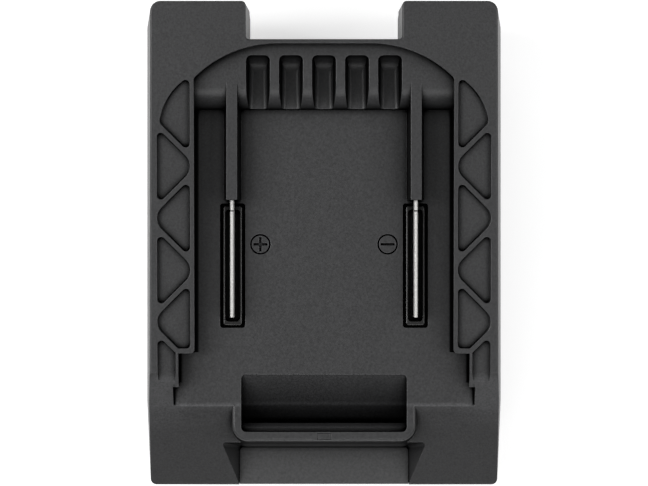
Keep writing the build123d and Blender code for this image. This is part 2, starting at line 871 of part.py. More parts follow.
def lower_cavity():
    """Inside of the lower shell's tray."""
    rise = part_z - base_z
    inset = wall + rise * math.tan(math.radians(lower_draft))
    inner_radius = closed_corner_radius - wall
    low = shell_plan(inset, inset, inner_radius, entry_corner_radius)
    high = shell_plan(wall, wall, inner_radius, entry_corner_radius)
    solid = drafted(low, base_z, high, part_z) - notch_wall_block(base_z, part_z)
    return solid


def foot_slide():
    """Tool-side foot: a neck with a flange on each side, bevelled where it leads in."""
    neck = block(-foot_neck_half, foot_neck_half, foot_entry_y, foot_closed_y, 0, plate_z + over)
    flange = block(-foot_flange_half, foot_flange_half, foot_entry_y, foot_closed_y, 0,
                   foot_flange_thickness)
    corners = flange.edges().filter_by(Axis.Z).group_by(Axis.Y)[-1]
    flange = chamfer(corners, foot_lead_chamfer)
    return neck + flange


def foot_inside():
    """Hollow of the foot behind the terminal block."""
    half = foot_neck_half - foot_wall
    back_y = foot_entry_y + foot_wall
    front_y = block_back_y - block_flange - foot_wall
    return block(-half, half, back_y, front_y, base_thickness, base_z + over)


def block_window():
    """Opening in the foot that the terminal block fills."""
    half = block_half_width + fit
    return block(-half, half, block_back_y - fit, foot_closed_y + over, -over, base_z + over)


def button_bay():
    """Walls on both sides of the thumb button."""
    inner = recess_half_width
    back_y = platform_foot_y + recess_back_step
    return both_sides(block(inner, inner + bay_wall, -half_length, back_y, base_z, part_z))


def lower_shell():
    """Tool-side half of the housing."""
    shell = lower_body() - lower_cavity()
    for x, y in screw_places():
        shell += upright(x, y, plate_z, part_z, boss_radius) & lower_envelope()
    shell += button_bay() & lower_envelope()
    for sign in (-1, 1):
        x = sign * retainer_screw_half
        shell += upright(x, retainer_y, base_z, block_top_z, insert_boss_radius)
    shell += foot_slide()
    shell -= foot_inside()
    shell -= block_window()
    shell -= block(-recess_half_width, recess_half_width, -half_length - over, wall + wall - half_length,
                   base_z, part_z + over)
    slot_half = hook_half_width + running
    slot_low_y = hook_back_from_entry - running - half_length
    slot_high_y = hook_front_from_entry + running - half_length
    shell -= block(-slot_half, slot_half, slot_low_y, slot_high_y, plate_z - over, base_z + over)
    guide_half = foot_slot_half
    guide = block(-guide_half, guide_half, foot_entry_y + foot_slot_end, block_back_y - foot_slot_end,
                  -over, foot_slot_depth)
    shell -= guide
    bore = screw_radius + screw_bore_gap
    for x, y in screw_places():
        shell -= upright(x, y, plate_z - over, screw_seat_z, screw_head_radius + recess_radius_gap)
        shell -= upright(x, y, screw_seat_z, part_z + over, bore)
    for sign in (-1, 1):
        x = sign * retainer_screw_half
        depth = small_screw_length - retainer_thickness + running
        shell -= upright(x, retainer_y, block_top_z - depth, block_top_z + over,
                         small_screw_radius + screw_bore_gap)
    return shell


def blade_insert(sign):
    """Glossy frame with a trench round one blade, and the flange that holds it from below."""
    half = insert_width / 2
    top = floor_z
    body = block(-half, half, insert_end_y, insert_start_y, insert_bottom_z, top - insert_rim_drop)
    body = fillet(body.edges().filter_by(Axis.Z), insert_corner_radius)
    rim_in = insert_rim_inner_half
    rim_out = insert_rim_outer_half
    rim_low = insert_end_y + insert_end_step
    rim_high = insert_start_y - insert_end_step
    rim = block(-rim_out, rim_out, rim_low, rim_high, insert_seat_z, top)
    rim = fillet(rim.edges().filter_by(Axis.Z), insert_corner_radius)
    rim = fillet(rim.edges().group_by(Axis.Z)[-1], insert_rim_radius)
    flange_half = insert_flange_width / 2
    reach = insert_length / 2 + insert_ear_reach
    low_y = insert_middle_y - reach
    high_y = insert_middle_y + reach
    flange = block(-flange_half, flange_half, low_y, high_y, insert_bottom_z, insert_seat_z)
    flange = fillet(flange.edges().filter_by(Axis.Z), flange_half / 2)
    pad_top = insert_bottom_z + insert_pad_height
    pad_low = insert_middle_y - blade_tail_length / 2
    pad_high = insert_middle_y + blade_tail_length / 2
    pad = block(-half - insert_pad_width, 0, pad_low, pad_high, insert_bottom_z, pad_top)
    solid = body + rim + flange + pad
    trench_low = insert_end_y + insert_trench_end
    trench_high = insert_start_y - insert_trench_end
    trench = block(-rim_in, rim_in, trench_low, trench_high, top - insert_trench_depth, top + over)
    trench = fillet(trench.edges().filter_by(Axis.Z), rim_in / 2)
    solid -= trench
    slot_half = blade_thickness / 2 + fit / 2
    tail_half = blade_tail_length / 2 + fit
    solid -= block(-slot_half, slot_half, insert_middle_y - tail_half, insert_middle_y + tail_half,
                   insert_bottom_z - over, top)
    solid = Pos(terminal_half_spacing, 0, 0) * solid
    bore = screw_radius + screw_bore_gap
    screw_x = tool_half_spacing
    solid -= upright(screw_x, insert_middle_y, insert_bottom_z - over, pad_top + over, bore)
    ear_bore = small_screw_radius + fit
    for ear_x, ear_y in insert_ear_places(1):
        solid -= upright(ear_x, ear_y, insert_bottom_z - over, insert_seat_z + over, ear_bore)
    return mirrored(solid, sign)


def blade(sign):
    """Terminal blade that stands in its insert, with a tail bent into a foot."""
    half = blade_thickness / 2
    low_z = floor_z - insert_trench_depth + fit
    root_high_y = insert_start_y - insert_trench_end - fit
    plate = block(-half, half, blade_end_y, blade_start_y, floor_z + fit, blade_top_z)
    plate += block(-half, half, blade_end_y, root_high_y, low_z, floor_z + fit)
    long_edges = plate.edges().filter_by(Axis.Y).group_by(Axis.Z)[-1]
    plate = chamfer(long_edges, blade_edge_chamfer)
    cut_y = blade_start_y - blade_cut_from_start
    cut_z = blade_top_z - blade_cut_depth
    plate -= block(-over, over, cut_y - blade_cut_width, cut_y, cut_z, blade_top_z + over)
    tail_low = insert_middle_y - blade_tail_length / 2
    tail_high = insert_middle_y + blade_tail_length / 2
    foot_z = insert_bottom_z - blade_thickness
    tail = block(-half, half, tail_low, tail_high, foot_z, low_z + over)
    foot = block(half - blade_foot_reach, half, tail_low, tail_high, foot_z, insert_bottom_z)
    solid = Pos(terminal_half_spacing, 0, 0) * (plate + tail + foot)
    hole = screw_radius + fit
    solid -= upright(tool_half_spacing, insert_middle_y, foot_z - over, insert_bottom_z + over, hole)
    return mirrored(solid, sign)


def bus_bar(sign):
    """Strap from a blade's foot down to its clip, bent from one strip."""
    start_y = insert_middle_y - strap_overhang
    riser_y = insert_middle_y + strap_riser_lead
    end_y = clip_back_y - fit
    t = strap_thickness
    profile = Polygon(
        (start_y, strap_high_z),
        (riser_y, strap_high_z),
        (riser_y, strap_low_z),
        (end_y, strap_low_z),
        (end_y, strap_low_z + t),
        (riser_y + t, strap_low_z + t),
        (riser_y + t, strap_high_z + t),
        (start_y, strap_high_z + t),
    )
    bends = [
        (riser_y, strap_high_z, 0),
        (riser_y + t, strap_low_z + t, 0),
    ]
    outer_bends = [
        (riser_y, strap_low_z, 0),
        (riser_y + t, strap_high_z + t, 0),
    ]
    inner = [profile.vertices().sort_by_distance(place)[0] for place in bends]
    profile = fillet(inner, t)
    outer = [profile.vertices().sort_by_distance(place)[0] for place in outer_bends]
    profile = fillet(outer, t + t)
    solid = Pos(tool_half_spacing, 0, 0) * side_prism(profile, strap_width / 2)
    hole = screw_radius + fit
    solid -= upright(tool_half_spacing, insert_middle_y, strap_high_z - over, strap_high_z + over, hole)
    solid -= upright(tool_half_spacing, clip_screw_y, strap_low_z - over, strap_low_z + over, hole)
    return mirrored(solid, sign)


def tool_clip(sign):
    """Spring contact: two leaves that pinch the tool's blade, under a plate with a screw tab."""
    t = clip_thickness
    low_z = clip_mouth_height
    right_leaf = [
        (clip_root_half, clip_top_z),
        (clip_root_half, clip_knee_height),
        (clip_pinch_half + t, clip_pinch_height),
        (clip_mouth_half + t, low_z),
        (clip_mouth_half, low_z),
        (clip_pinch_half, clip_pinch_height),
        (clip_root_half - t, clip_knee_height),
        (clip_root_half - t, clip_top_z),
    ]
    leaf = end_prism(Polygon(*right_leaf), clip_back_y, clip_front_y)
    bridge = block(-clip_root_half, clip_root_half, clip_back_y, clip_front_y, block_top_z, clip_top_z)
    tab_half = clip_tab_width / 2
    tab_end = clip_back_y - clip_tab_length
    tab = block(-tab_half, tab_half, tab_end, clip_back_y, block_top_z, clip_top_z)
    slit_y = (clip_back_y + clip_front_y) / 2
    slit_half = clip_slit_width / 2
    slit = block(-over - clip_root_half, over + clip_root_half, slit_y - slit_half, slit_y + slit_half,
                 low_z - over, clip_knee_height)
    solid = both_sides(leaf) - slit + bridge + tab
    solid = Pos(tool_half_spacing, 0, 0) * solid
    hole = screw_radius + fit
    solid -= upright(tool_half_spacing, clip_screw_y, block_top_z - over, clip_top_z + over, hole)
    return mirrored(solid, sign)


def terminal_block():
    """Insulating block that fills the foot's front end and carries the clips."""
    body = block(-block_half_width, block_half_width, block_back_y, block_front_y, block_face_gap, base_z)
    flange_half = block_half_width + block_flange
    flange = block(-flange_half, flange_half, block_back_y - block_flange, notch_y - wall - running,
                   base_z, block_top_z)
    solid = body + flange
    cavity_back = clip_back_y - running
    slot_half = block_slot_width / 2
    slot_back = clip_back_y
    for sign in (-1, 1):
        x = sign * tool_half_spacing
        solid -= block(x - block_cavity_half, x + block_cavity_half, cavity_back, clip_front_y + running,
                       block_skin, block_top_z + over)
        solid -= block(x - slot_half, x + slot_half, slot_back, block_front_y + over, -over,
                       base_z - base_thickness)
        solid -= upright(x, clip_screw_y, block_top_z - screw_engagement, block_top_z + over,
                         screw_radius + screw_bore_gap)
    return solid


def contact_retainer():
    """Frame over the block, with a window round each clip."""
    half = retainer_half_width
    low_y = retainer_y - retainer_half_length
    high_y = retainer_y + retainer_half_length
    top = retainer_z + retainer_thickness
    solid = block(-half, half, low_y, high_y, retainer_z, top)
    solid = fillet(solid.edges().filter_by(Axis.Z), insert_boss_radius / 2)
    window_half = clip_tab_width / 2 + retainer_window_gap
    for sign in (-1, 1):
        x = sign * tool_half_spacing
        solid -= block(x - window_half, x + window_half, low_y - over, clip_front_y + retainer_window_gap,
                       retainer_z - over, top + over)
        solid -= upright(sign * retainer_screw_half, retainer_y, retainer_z - over, top + over,
                         small_screw_radius + fit)
    return solid


def screw(x, y, seat_z, up, shank_radius, head_radius, head_height, length):
    """Pan-head screw with a cross drive; up is 1 where its shank points to +Z, else -1."""
    head_z = seat_z - up * head_height
    tip_z = seat_z + up * length
    shank = upright(x, y, min(seat_z, tip_z), max(seat_z, tip_z), shank_radius)
    head = upright(x, y, min(seat_z, head_z), max(seat_z, head_z), head_radius)
    rim = head.edges().filter_by(GeomType.CIRCLE).sort_by_distance((x, y, head_z))[0]
    head = fillet(rim, head_height * head_round_share)
    half_long = head_radius * drive_length / (screw_head_radius + screw_head_radius)
    half_wide = half_long * drive_width / drive_length
    drive_z = head_z + up * min(drive_depth, head_height / 2)
    drive_top = head_z - up * head_height
    cross = block(x - half_long, x + half_long, y - half_wide, y + half_wide, drive_z, drive_top)
    cross += block(x - half_wide, x + half_wide, y - half_long, y + half_long, drive_z, drive_top)
    return shank + head - cross


def small_screw(x, y, seat_z, up):
    """Small screw at one place."""
    return screw(x, y, seat_z, up, small_screw_radius, small_head_radius, small_head_height,
                 small_screw_length)


def group(solids):
    """Separate solids kept together under one name."""
    return Compound(children=[solid.solid() for solid in solids])


def housing_screws():
    """Six long screws that hold the shells together, set from the tool side."""
    length = screw_grip + screw_engagement
    return group([
        screw(x, y, screw_seat_z, 1, screw_radius, screw_head_radius, screw_head_height, length)
        for x, y in screw_places()
    ])


def blade_screws():
    """Screws that clamp each strap and blade foot to the insert."""
    length = insert_pad_height + blade_thickness + strap_thickness
    return group([
        screw(sign * tool_half_spacing, insert_middle_y, strap_high_z, 1, screw_radius,
              screw_head_radius, screw_head_height, length)
        for sign in (-1, 1)
    ])


def clip_screws():
    """Screws that clamp each strap and clip tab to the block."""
    length = screw_engagement + clip_thickness + strap_thickness - running
    return group([
        screw(sign * tool_half_spacing, clip_screw_y, strap_low_z + strap_thickness, -1, screw_radius,
              screw_head_radius, screw_head_height, length)
        for sign in (-1, 1)
    ])


def insert_screws():
    """Four small screws through the inserts' ears."""
    places = insert_ear_places(-1) + insert_ear_places(1)
    return group([small_screw(x, y, insert_bottom_z, 1) for x, y in places])


def retainer_screws():
    """Two small screws through the retainer."""
    seat_z = retainer_z + retainer_thickness
    return group([small_screw(sign * retainer_screw_half, retainer_y, seat_z, -1) for sign in (-1, 1)])


def latch_screw_place(sign):
    """Axis of one screw between slide and button."""
    button_middle = (platform_foot_from_entry - button_skirt) / 2
    return sign * latch_screw_half, button_middle + button_skirt / 2 - half_length


def latch_slide():
    """Carrier plate with the hook that locks into the tool."""
    entry_y = button_face_gap + button_skirt + fit - half_length
    wide_half = recess_half_width - running
    rear_y = platform_foot_y - running
    plate = block(-slide_half_width, slide_half_width, rear_y - over, slide_end_y, slide_z, slide_top_z)
    plate += block(-wide_half, wide_half, entry_y, rear_y, slide_z, slide_top_z)
    front_y = hook_front_from_entry - half_length
    back_y = hook_back_from_entry - half_length
    tip_z = plate_z - hook_reach
    profile = Polygon(
        (back_y, slide_z + slide_thickness / 2),
        (back_y, tip_z),
        (back_y + hook_flat, tip_z),
        (front_y, plate_z + hook_ramp_start),
        (front_y, slide_z + slide_thickness / 2),
    )
    solid = plate + side_prism(profile, hook_half_width)
    for sign in (-1, 1):
        post_top = slide_top_z + spring_post_height
        solid += upright(sign * spring_half_spacing, spring_y, slide_top_z - slide_thickness / 2, post_top,
                         spring_post_radius)
        x, y = latch_screw_place(sign)
        head_z = slide_z + small_head_height
        solid -= upright(x, y, slide_z - over, head_z, small_head_radius + fit)
        solid -= upright(x, y, slide_z, slide_top_z + over, small_screw_radius + fit)
    return solid


def thumb_button():
    """Thumb button: its top is the pad in the recess, its face has grip grooves."""
    half = recess_half_width - fit
    face_y = button_face_gap - half_length
    rear_y = platform_foot_y - fit
    solid = block(-half, half, face_y, rear_y, slide_top_z, part_z)
    corners = solid.edges().filter_by(Axis.Z).group_by(Axis.Y)[-1]
    solid = fillet(corners, recess_corner_radius)
    solid += block(-half, half, face_y, face_y + button_skirt, slide_z, slide_top_z)
    face_height = part_z - slide_z
    pitch = face_height / (button_grip_count + 1)
    groove_half = button_grip_width / 2
    for index in range(button_grip_count):
        z = slide_z + pitch * (index + 1)
        groove_end = half - bay_wall
        solid -= block(-groove_end, groove_end, face_y - over, face_y + button_grip_depth,
                       z - groove_half, z + groove_half)
    for sign in (-1, 1):
        x, y = latch_screw_place(sign)
        tip_z = slide_z + small_head_height + small_screw_length + running
        solid -= upright(x, y, slide_top_z - over, tip_z, small_screw_radius + screw_bore_gap)
    return solid


def latch_screws():
    """Two small screws that hold the button on the slide, sunk in its underside."""
    seat_z = slide_z + small_head_height
    return group([small_screw(*latch_screw_place(sign), seat_z, 1) for sign in (-1, 1)])


def latch_spring(sign):
    """Compression spring between the slide and the underside of the latch pocket."""
    low_z = slide_top_z + spring_seat_gap + spring_wire / 2
    high_z = pocket_block_z - spring_seat_gap - spring_wire / 2
    pitch = (high_z - low_z) / spring_turns
    path = Helix(pitch=pitch, height=high_z - low_z, radius=spring_radius)
    section = Plane(origin=path @ 0, z_dir=path % 0) * Circle(spring_wire / 2)
    coil = sweep(section, path=path, is_frenet=True)
    return Pos(sign * spring_half_spacing, spring_y, low_z) * coil


def spring_gap():
    """Least gap between neighbouring turns of a latch spring, measured on points."""
    low_z = slide_top_z + spring_seat_gap + spring_wire / 2
    high_z = pocket_block_z - spring_seat_gap - spring_wire / 2
    per_turn = 36
    count = spring_turns * per_turn
    points = []
    for index in range(count + 1):
        angle = math.tau * index / per_turn
        rise = (high_z - low_z) * index / count
        points.append(Vector(spring_radius * math.cos(angle), spring_radius * math.sin(angle), rise))
    least = body_length
    for first in range(count + 1):
        for second in range(first + per_turn // 2, count + 1):
            least = min(least, (points[first] - points[second]).length - spring_wire)
    return least


def main():
    """Build every piece and write it under its own name."""
    nodes = {
        "upper_shell": upper_shell(),
        "lower_shell": lower_shell(),
        "blade_insert_positive": blade_insert(-1),
        "blade_insert_negative": blade_insert(1),
        "blade_positive": blade(-1),
        "blade_negative": blade(1),
        "bus_bar_positive": bus_bar(-1),
        "bus_bar_negative": bus_bar(1),
        "tool_clip_positive": tool_clip(-1),
        "tool_clip_negative": tool_clip(1),
        "terminal_block": terminal_block(),
        "contact_retainer": contact_retainer(),
        "latch_slide": latch_slide(),
        "thumb_button": thumb_button(),
        "latch_spring_left": latch_spring(-1),
        "latch_spring_right": latch_spring(1),
        "housing_screws": housing_screws(),
        "blade_screws": blade_screws(),
        "clip_screws": clip_screws(),
        "insert_screws": insert_screws(),
        "retainer_screws": retainer_screws(),
        "latch_screws": latch_screws(),
    }
    os.makedirs("parts", exist_ok=True)
    for name, shape in nodes.items():
        export_step(shape, f"parts/{name}.step")
    print(f"least gap between spring turns: {spring_gap():.2f} mm")


main()
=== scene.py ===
import bpy
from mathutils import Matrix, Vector


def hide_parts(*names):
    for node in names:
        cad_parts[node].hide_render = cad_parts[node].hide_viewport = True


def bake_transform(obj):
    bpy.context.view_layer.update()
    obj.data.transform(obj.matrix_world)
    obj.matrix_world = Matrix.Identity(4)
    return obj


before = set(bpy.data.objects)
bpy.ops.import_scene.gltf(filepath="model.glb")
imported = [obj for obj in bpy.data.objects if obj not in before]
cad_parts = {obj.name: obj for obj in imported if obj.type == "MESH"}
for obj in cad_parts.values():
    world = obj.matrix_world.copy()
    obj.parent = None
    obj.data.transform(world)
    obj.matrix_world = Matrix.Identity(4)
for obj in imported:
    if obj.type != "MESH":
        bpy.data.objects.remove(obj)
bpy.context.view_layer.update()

# Lengths are in metres, in the shared frame. Each pair is a border, over which a mask fades from its first
# place to its last. SIDE borders hold for |x|, since the object is the same on both sides.
BAY_SIDE = (0.0335, 0.0345)
BAY_BACK = (0.0410, 0.0420)
BAY_FRONT = (-0.0445, -0.0435)

LEAD_IN_SIDE = (0.0285, 0.0345)
LEAD_IN_TOP = (-0.0285, -0.0275)
LEAD_IN_FOOT = (-0.0410, -0.0350)
LONG_SLOPE_TOP = (-0.0400, -0.0350)
LONG_SLOPE_SIDE = (0.0180, 0.0200)
CREST_FRONT = (-0.0352, -0.0347)
CREST_BACK = (-0.0345, -0.0340)
CREST_SIDE = (0.0310, 0.0330)
WANDER = 0.0008

FOOT_PLACE = 0.0275
FOOT_BORDER = (-0.0003, 0.0001)
FOOT_SIDE = (0.0327, 0.0329)
FOOT_TOP = (0.0402, 0.0410)
FOOT_BOTTOM = (0.0370, 0.0375)
FOOT_BACK = (0.0294, 0.0298)
FOOT_FRONT = (-0.0350, -0.0345)
FOOT_STEPS = (((-0.0233, -0.0231), 0.00365), ((-0.0299, -0.0297), 0.0013))
HOOK_POCKET_SIDE = (0.0178, 0.0182)
HOOK_POCKET_FRONT = (-0.0396, -0.0392)
HOOK_POCKET_DEPTHS = (0.0330, 0.0376)
SHADED_HEIGHTS = (0.0385, 0.0440)

# Borders of the upward part of a face's normal, and of the cosine between its rounded and flat normals.
STEEP = (0.25, 0.60)
FACING_UP = (0.45, 0.65)
FACING_DOWN = (-0.90, -0.70)
ROUNDED = (0.90, 0.9985)


class Tree:
    """A material made of nodes. Each helper adds what it needs and returns the output that is used."""

    def __init__(self, name):
        self.material = bpy.data.materials.new(name)
        self.material.use_nodes = True
        self.nodes = self.material.node_tree.nodes
        self.links = self.material.node_tree.links
        self.shader = self.nodes["Principled BSDF"]
        self.place = self.nodes.new("ShaderNodeTexCoord").outputs["Object"]
        parts = self.nodes.new("ShaderNodeSeparateXYZ")
        self.links.new(self.place, parts.inputs[0])
        self.x = self.math("ABSOLUTE", parts.outputs[0])
        self.y, self.z = parts.outputs[1], parts.outputs[2]
        facing = self.nodes.new("ShaderNodeSeparateXYZ")
        self.links.new(self.nodes.new("ShaderNodeNewGeometry").outputs["Normal"], facing.inputs[0])
        self.up = facing.outputs[2]

    def put(self, socket, value):
        if isinstance(value, bpy.types.NodeSocket):
            self.links.new(value, socket)
        else:
            socket.default_value = value

    def set(self, **values):
        for name, value in values.items():
            self.put(self.shader.inputs[name.replace("_", " ")], value)

    def math(self, operation, a, b=0.0, clamp=False):
        node = self.nodes.new("ShaderNodeMath")
        node.operation = operation
        node.use_clamp = clamp
        self.put(node.inputs[0], a)
        self.put(node.inputs[1], b)
        return node.outputs[0]

    def product(self, result, *factors):
        for factor in factors:
            result = self.math("MULTIPLY", result, factor)
        return result

    def vector(self, operation, a, b, out="Vector"):
        node = self.nodes.new("ShaderNodeVectorMath")
        node.operation = operation
        self.put(node.inputs[0], a)
        self.put(node.inputs[1], b)
        return node.outputs[out]

    def noise(self, size, detail=2.0, rough=0.5, stretch=(1, 1, 1), seed=0.0):
        """A noise whose features are about `size` metres across, from 0 to 1."""
        node = self.nodes.new("ShaderNodeTexNoise")
        node.noise_dimensions = "4D"
        self.put(node.inputs["Vector"], self.vector("MULTIPLY", self.place, stretch))
        self.put(node.inputs["W"], seed)
        self.put(node.inputs["Scale"], 1 / size)
        self.put(node.inputs["Detail"], detail)
        self.put(node.inputs["Roughness"], rough)
        return node.outputs["Fac"]

    def spread(self, value, low, high, start=0.3, end=0.7):
        """Maps a value that runs from start to end onto low to high."""
        node = self.nodes.new("ShaderNodeMapRange")
        self.put(node.inputs["Value"], value)
        self.put(node.inputs["From Min"], start)
        self.put(node.inputs["From Max"], end)
        self.put(node.inputs["To Min"], low)
        self.put(node.inputs["To Max"], high)
        return node.outputs["Result"]

    def before(self, value, border):
        """1 where the value has not come to the border, 0 past it."""
        return self.spread(value, 1.0, 0.0, *border)

    def beyond(self, value, border):
        """0 where the value has not come to the border, 1 past it."""
        return self.spread(value, 0.0, 1.0, *border)

    def scaled(self, colour, factor):
        node = self.nodes.new("ShaderNodeVectorMath")
        node.operation = "SCALE"
        node.inputs[0].default_value = colour
        self.put(node.inputs["Scale"], factor)
        return node.outputs["Vector"]

    def bump(self, height, depth, normal):
        node = self.nodes.new("ShaderNodeBump")
        node.inputs["Strength"].default_value = 1.0
        node.inputs["Distance"].default_value = depth
        self.put(node.inputs["Height"], height)
        self.put(node.inputs["Normal"], normal)
        return node.outputs["Normal"]

    def round_edges(self, radius):
        """The normal with edges rounded, and how near an edge a point is, from 0 to 1."""
        node = self.nodes.new("ShaderNodeBevel")
        node.samples = 6
        node.inputs["Radius"].default_value = radius
        flat = self.nodes.new("ShaderNodeNewGeometry").outputs["Normal"]
        along = self.vector("DOT_PRODUCT", node.outputs["Normal"], flat, "Value")
        return node.outputs["Normal"], self.before(along, ROUNDED)

    def openness(self, reach):
        """How open the surroundings of a point are, from 0 in a tight corner to 1.

        Faces that look down count as open, since the floor that the object stands on would darken them."""
        node = self.nodes.new("ShaderNodeAmbientOcclusion")
        node.samples = 4
        node.inputs["Distance"].default_value = reach
        return self.math("MAXIMUM", node.outputs["AO"], self.spread(self.up, 0.85, 0.0, *FACING_DOWN))

    def sheltered(self):
        """1 on the steep walls inside the battery bay, which lie in shade in the photo, else 0."""
        return self.product(
            self.before(self.math("ABSOLUTE", self.up), STEEP), self.before(self.x, BAY_SIDE),
            self.before(self.y, BAY_BACK), self.beyond(self.y, BAY_FRONT))

    def painted_slope_light(self):
        """A factor on the colour, which is 1 in most places.

        It is a painted highlight on the lead-in slopes, where battery rails slide on, and along a narrow
        crest, and painted shade on the long slope."""
        y = self.math("ADD", self.y, self.spread(self.noise(0.006, seed=11.0), -WANDER, WANDER))
        lead_in = self.product(
            self.beyond(self.x, LEAD_IN_SIDE), self.before(y, LEAD_IN_TOP), self.beyond(y, LEAD_IN_FOOT))
        crest = self.product(
            self.beyond(self.y, CREST_FRONT), self.before(self.y, CREST_BACK),
            self.before(self.x, CREST_SIDE))
        long_slope_shade = self.product(self.before(y, LONG_SLOPE_TOP), self.beyond(self.x, LONG_SLOPE_SIDE))
        gain = self.math("ADD", 1.0, self.product(lead_in, 0.45))
        gain = self.math("ADD", gain, self.product(crest, 0.9))
        change = self.math("SUBTRACT", gain, self.product(long_slope_shade, 0.20))
        return self.spread(self.beyond(self.up, FACING_UP), 1.0, change, 0.0, 1.0)

    def painted_groove_shadow(self):
        """0 to 1: painted shadow, near black, along the foot of the rails' undercut, and painted shade that
        deepens down in the hook pocket.
        """
        place = FOOT_PLACE
        for border, width in FOOT_STEPS:
            place = self.math("ADD", place, self.product(self.before(self.y, border), width))
        foot = self.product(
            self.beyond(self.math("SUBTRACT", self.x, place), FOOT_BORDER),
            self.before(self.x, FOOT_SIDE),
            self.before(self.z, FOOT_TOP), self.beyond(self.z, FOOT_BOTTOM),
            self.before(self.y, FOOT_BACK), self.beyond(self.y, FOOT_FRONT))
        pocket = self.product(
            self.before(self.x, HOOK_POCKET_SIDE), self.spread(self.z, 0.45, 0.0, *HOOK_POCKET_DEPTHS),
            self.beyond(self.y, HOOK_POCKET_FRONT))
        return self.math("MAXIMUM", self.product(foot, 0.95), pocket)


def moulded(name, colour, grain, depth, roughness, edge=0.00025, edge_highlight_gain=1.6, speckle=0.45):
    """Moulded plastic: an etched grain and faint flow marks, with painted shade in its corners, on the bay
    walls and in the grooves, and painted light and shade on its edges and slopes.
    """
    t = Tree(name)
    normal, near_edge = t.round_edges(edge)
    tight, near, wide = t.openness(0.0013), t.openness(0.004), t.openness(0.012)
    # Painted shade on the steep walls inside the battery bay.
    walls = t.math("SUBTRACT", 1.0, t.product(t.sheltered(), 0.92))
    fine = t.noise(grain, 4.0, 0.7)
    flow = t.noise(0.012, 3.0, 0.55, (1.0, 0.45, 1.0), 3.0)
    patch = t.noise(0.035, seed=7.0)
    # Painted shade: the colour is darkened by how closed in a point is at three reaches, more so low in the
    # bay, in the grooves and on the bay walls. The specular level is lowered with it.
    painted_shade = t.product(
        t.spread(tight, 0.01, 1.0, 0.52, 0.84), t.spread(near, 0.42, 1.0, 0.35, 0.86),
        t.spread(wide, t.spread(t.z, 0.57, 0.78, *SHADED_HEIGHTS), 1.0, 0.38, 0.94),
        t.math("SUBTRACT", 1.0, t.painted_groove_shadow()), walls)
    # Painted highlight: edges out in the open are made lighter, and a little less rough.
    edge_highlight = t.product(near_edge, t.spread(near, 0.0, 1.0, 0.6, 0.9), t.spread(patch, 0.6, 1.0), walls)
    shade = t.product(
        t.spread(fine, 1 - speckle, 1 + speckle), t.spread(flow, 0.95, 1.05),
        t.math("ADD", 1.0, t.product(edge_highlight, edge_highlight_gain)))
    t.set(Base_Color=t.scaled(colour, t.product(shade, t.painted_slope_light(), painted_shade)))
    rough = t.math("ADD", t.spread(fine, roughness - 0.08, roughness + 0.08), t.spread(patch, -0.02, 0.02))
    t.set(Roughness=t.math("SUBTRACT", rough, t.product(edge_highlight, 0.10), True))
    t.set(Specular_IOR_Level=t.product(0.5, painted_shade))
    t.set(Normal=t.bump(fine, depth, normal))
    return t.material


def sheared_metal(name, colour, roughness, metallic=1.0):
    """Plated sheet metal: rolling lines on its faces, a torn grain across its sheared edge, and painted
    shade in tight corners and slots.
    """
    t = Tree(name)
    normal, _ = t.round_edges(0.00008)
    rolled = t.noise(0.0006, 3.0, 0.6, (0.06, 1.0, 1.0), 1.0)
    torn = t.noise(0.00040, 4.0, 0.7, (1.0, 1.0, 0.15), 5.0)
    stain = t.noise(0.006, 3.0, 0.6, seed=9.0)
    # Painted shade: the colour goes near black where the surroundings are closed in, as in the blade slots.
    shade = t.product(
        t.spread(torn, 0.74, 1.10), t.spread(stain, 0.94, 1.03),
        t.spread(t.openness(0.0012), 0.03, 1.0, 0.3, 0.65))
    t.set(Base_Color=t.scaled(colour, shade), Metallic=metallic)
    t.set(Roughness=t.spread(rolled, roughness - 0.08, roughness + 0.12))
    height = t.math("ADD", t.product(torn, 0.7), t.product(rolled, 0.3))
    t.set(Normal=t.bump(height, 0.00006, normal))
    return t.material


def coated_steel(name, colour, roughness):
    """Steel with a thin coating, with fine drawn lines and lighter rubbed edges."""
    t = Tree(name)
    normal, near_edge = t.round_edges(0.00015)
    drawn = t.noise(0.0005, 3.0, 0.6, (1.0, 1.0, 0.2), 2.0)
    patch = t.noise(0.004, 3.0, 0.6, seed=4.0)
    shade = t.product(t.spread(patch, 0.8, 1.1), t.math("ADD", 1.0, t.product(near_edge, 0.8)))
    t.set(Base_Color=t.scaled(colour, shade), Metallic=1.0)
    t.set(Roughness=t.spread(drawn, roughness - 0.08, roughness + 0.10))
    t.set(Normal=t.bump(drawn, 0.00001, normal))
    return t.material


CHARCOAL = (0.0315, 0.0317, 0.0330)
SOOT = (0.0285, 0.0287, 0.0298)
ASH = (0.0550, 0.0553, 0.0566)
INK = (0.0110, 0.0110, 0.0115)
BLACK = (0.0130, 0.0128, 0.0126)
NICKEL = (0.82, 0.81, 0.79)
TINNED_COPPER = (0.84, 0.80, 0.72)
BRONZE = (0.80, 0.66, 0.42)
BRIGHT_STEEL = (0.55, 0.55, 0.56)
BLACK_ZINC = (0.10, 0.10, 0.105)

SHELL_GRAIN = {"grain": 0.00045, "depth": 0.00003}
INNER_GRAIN = {"grain": 0.0005, "depth": 0.00003}

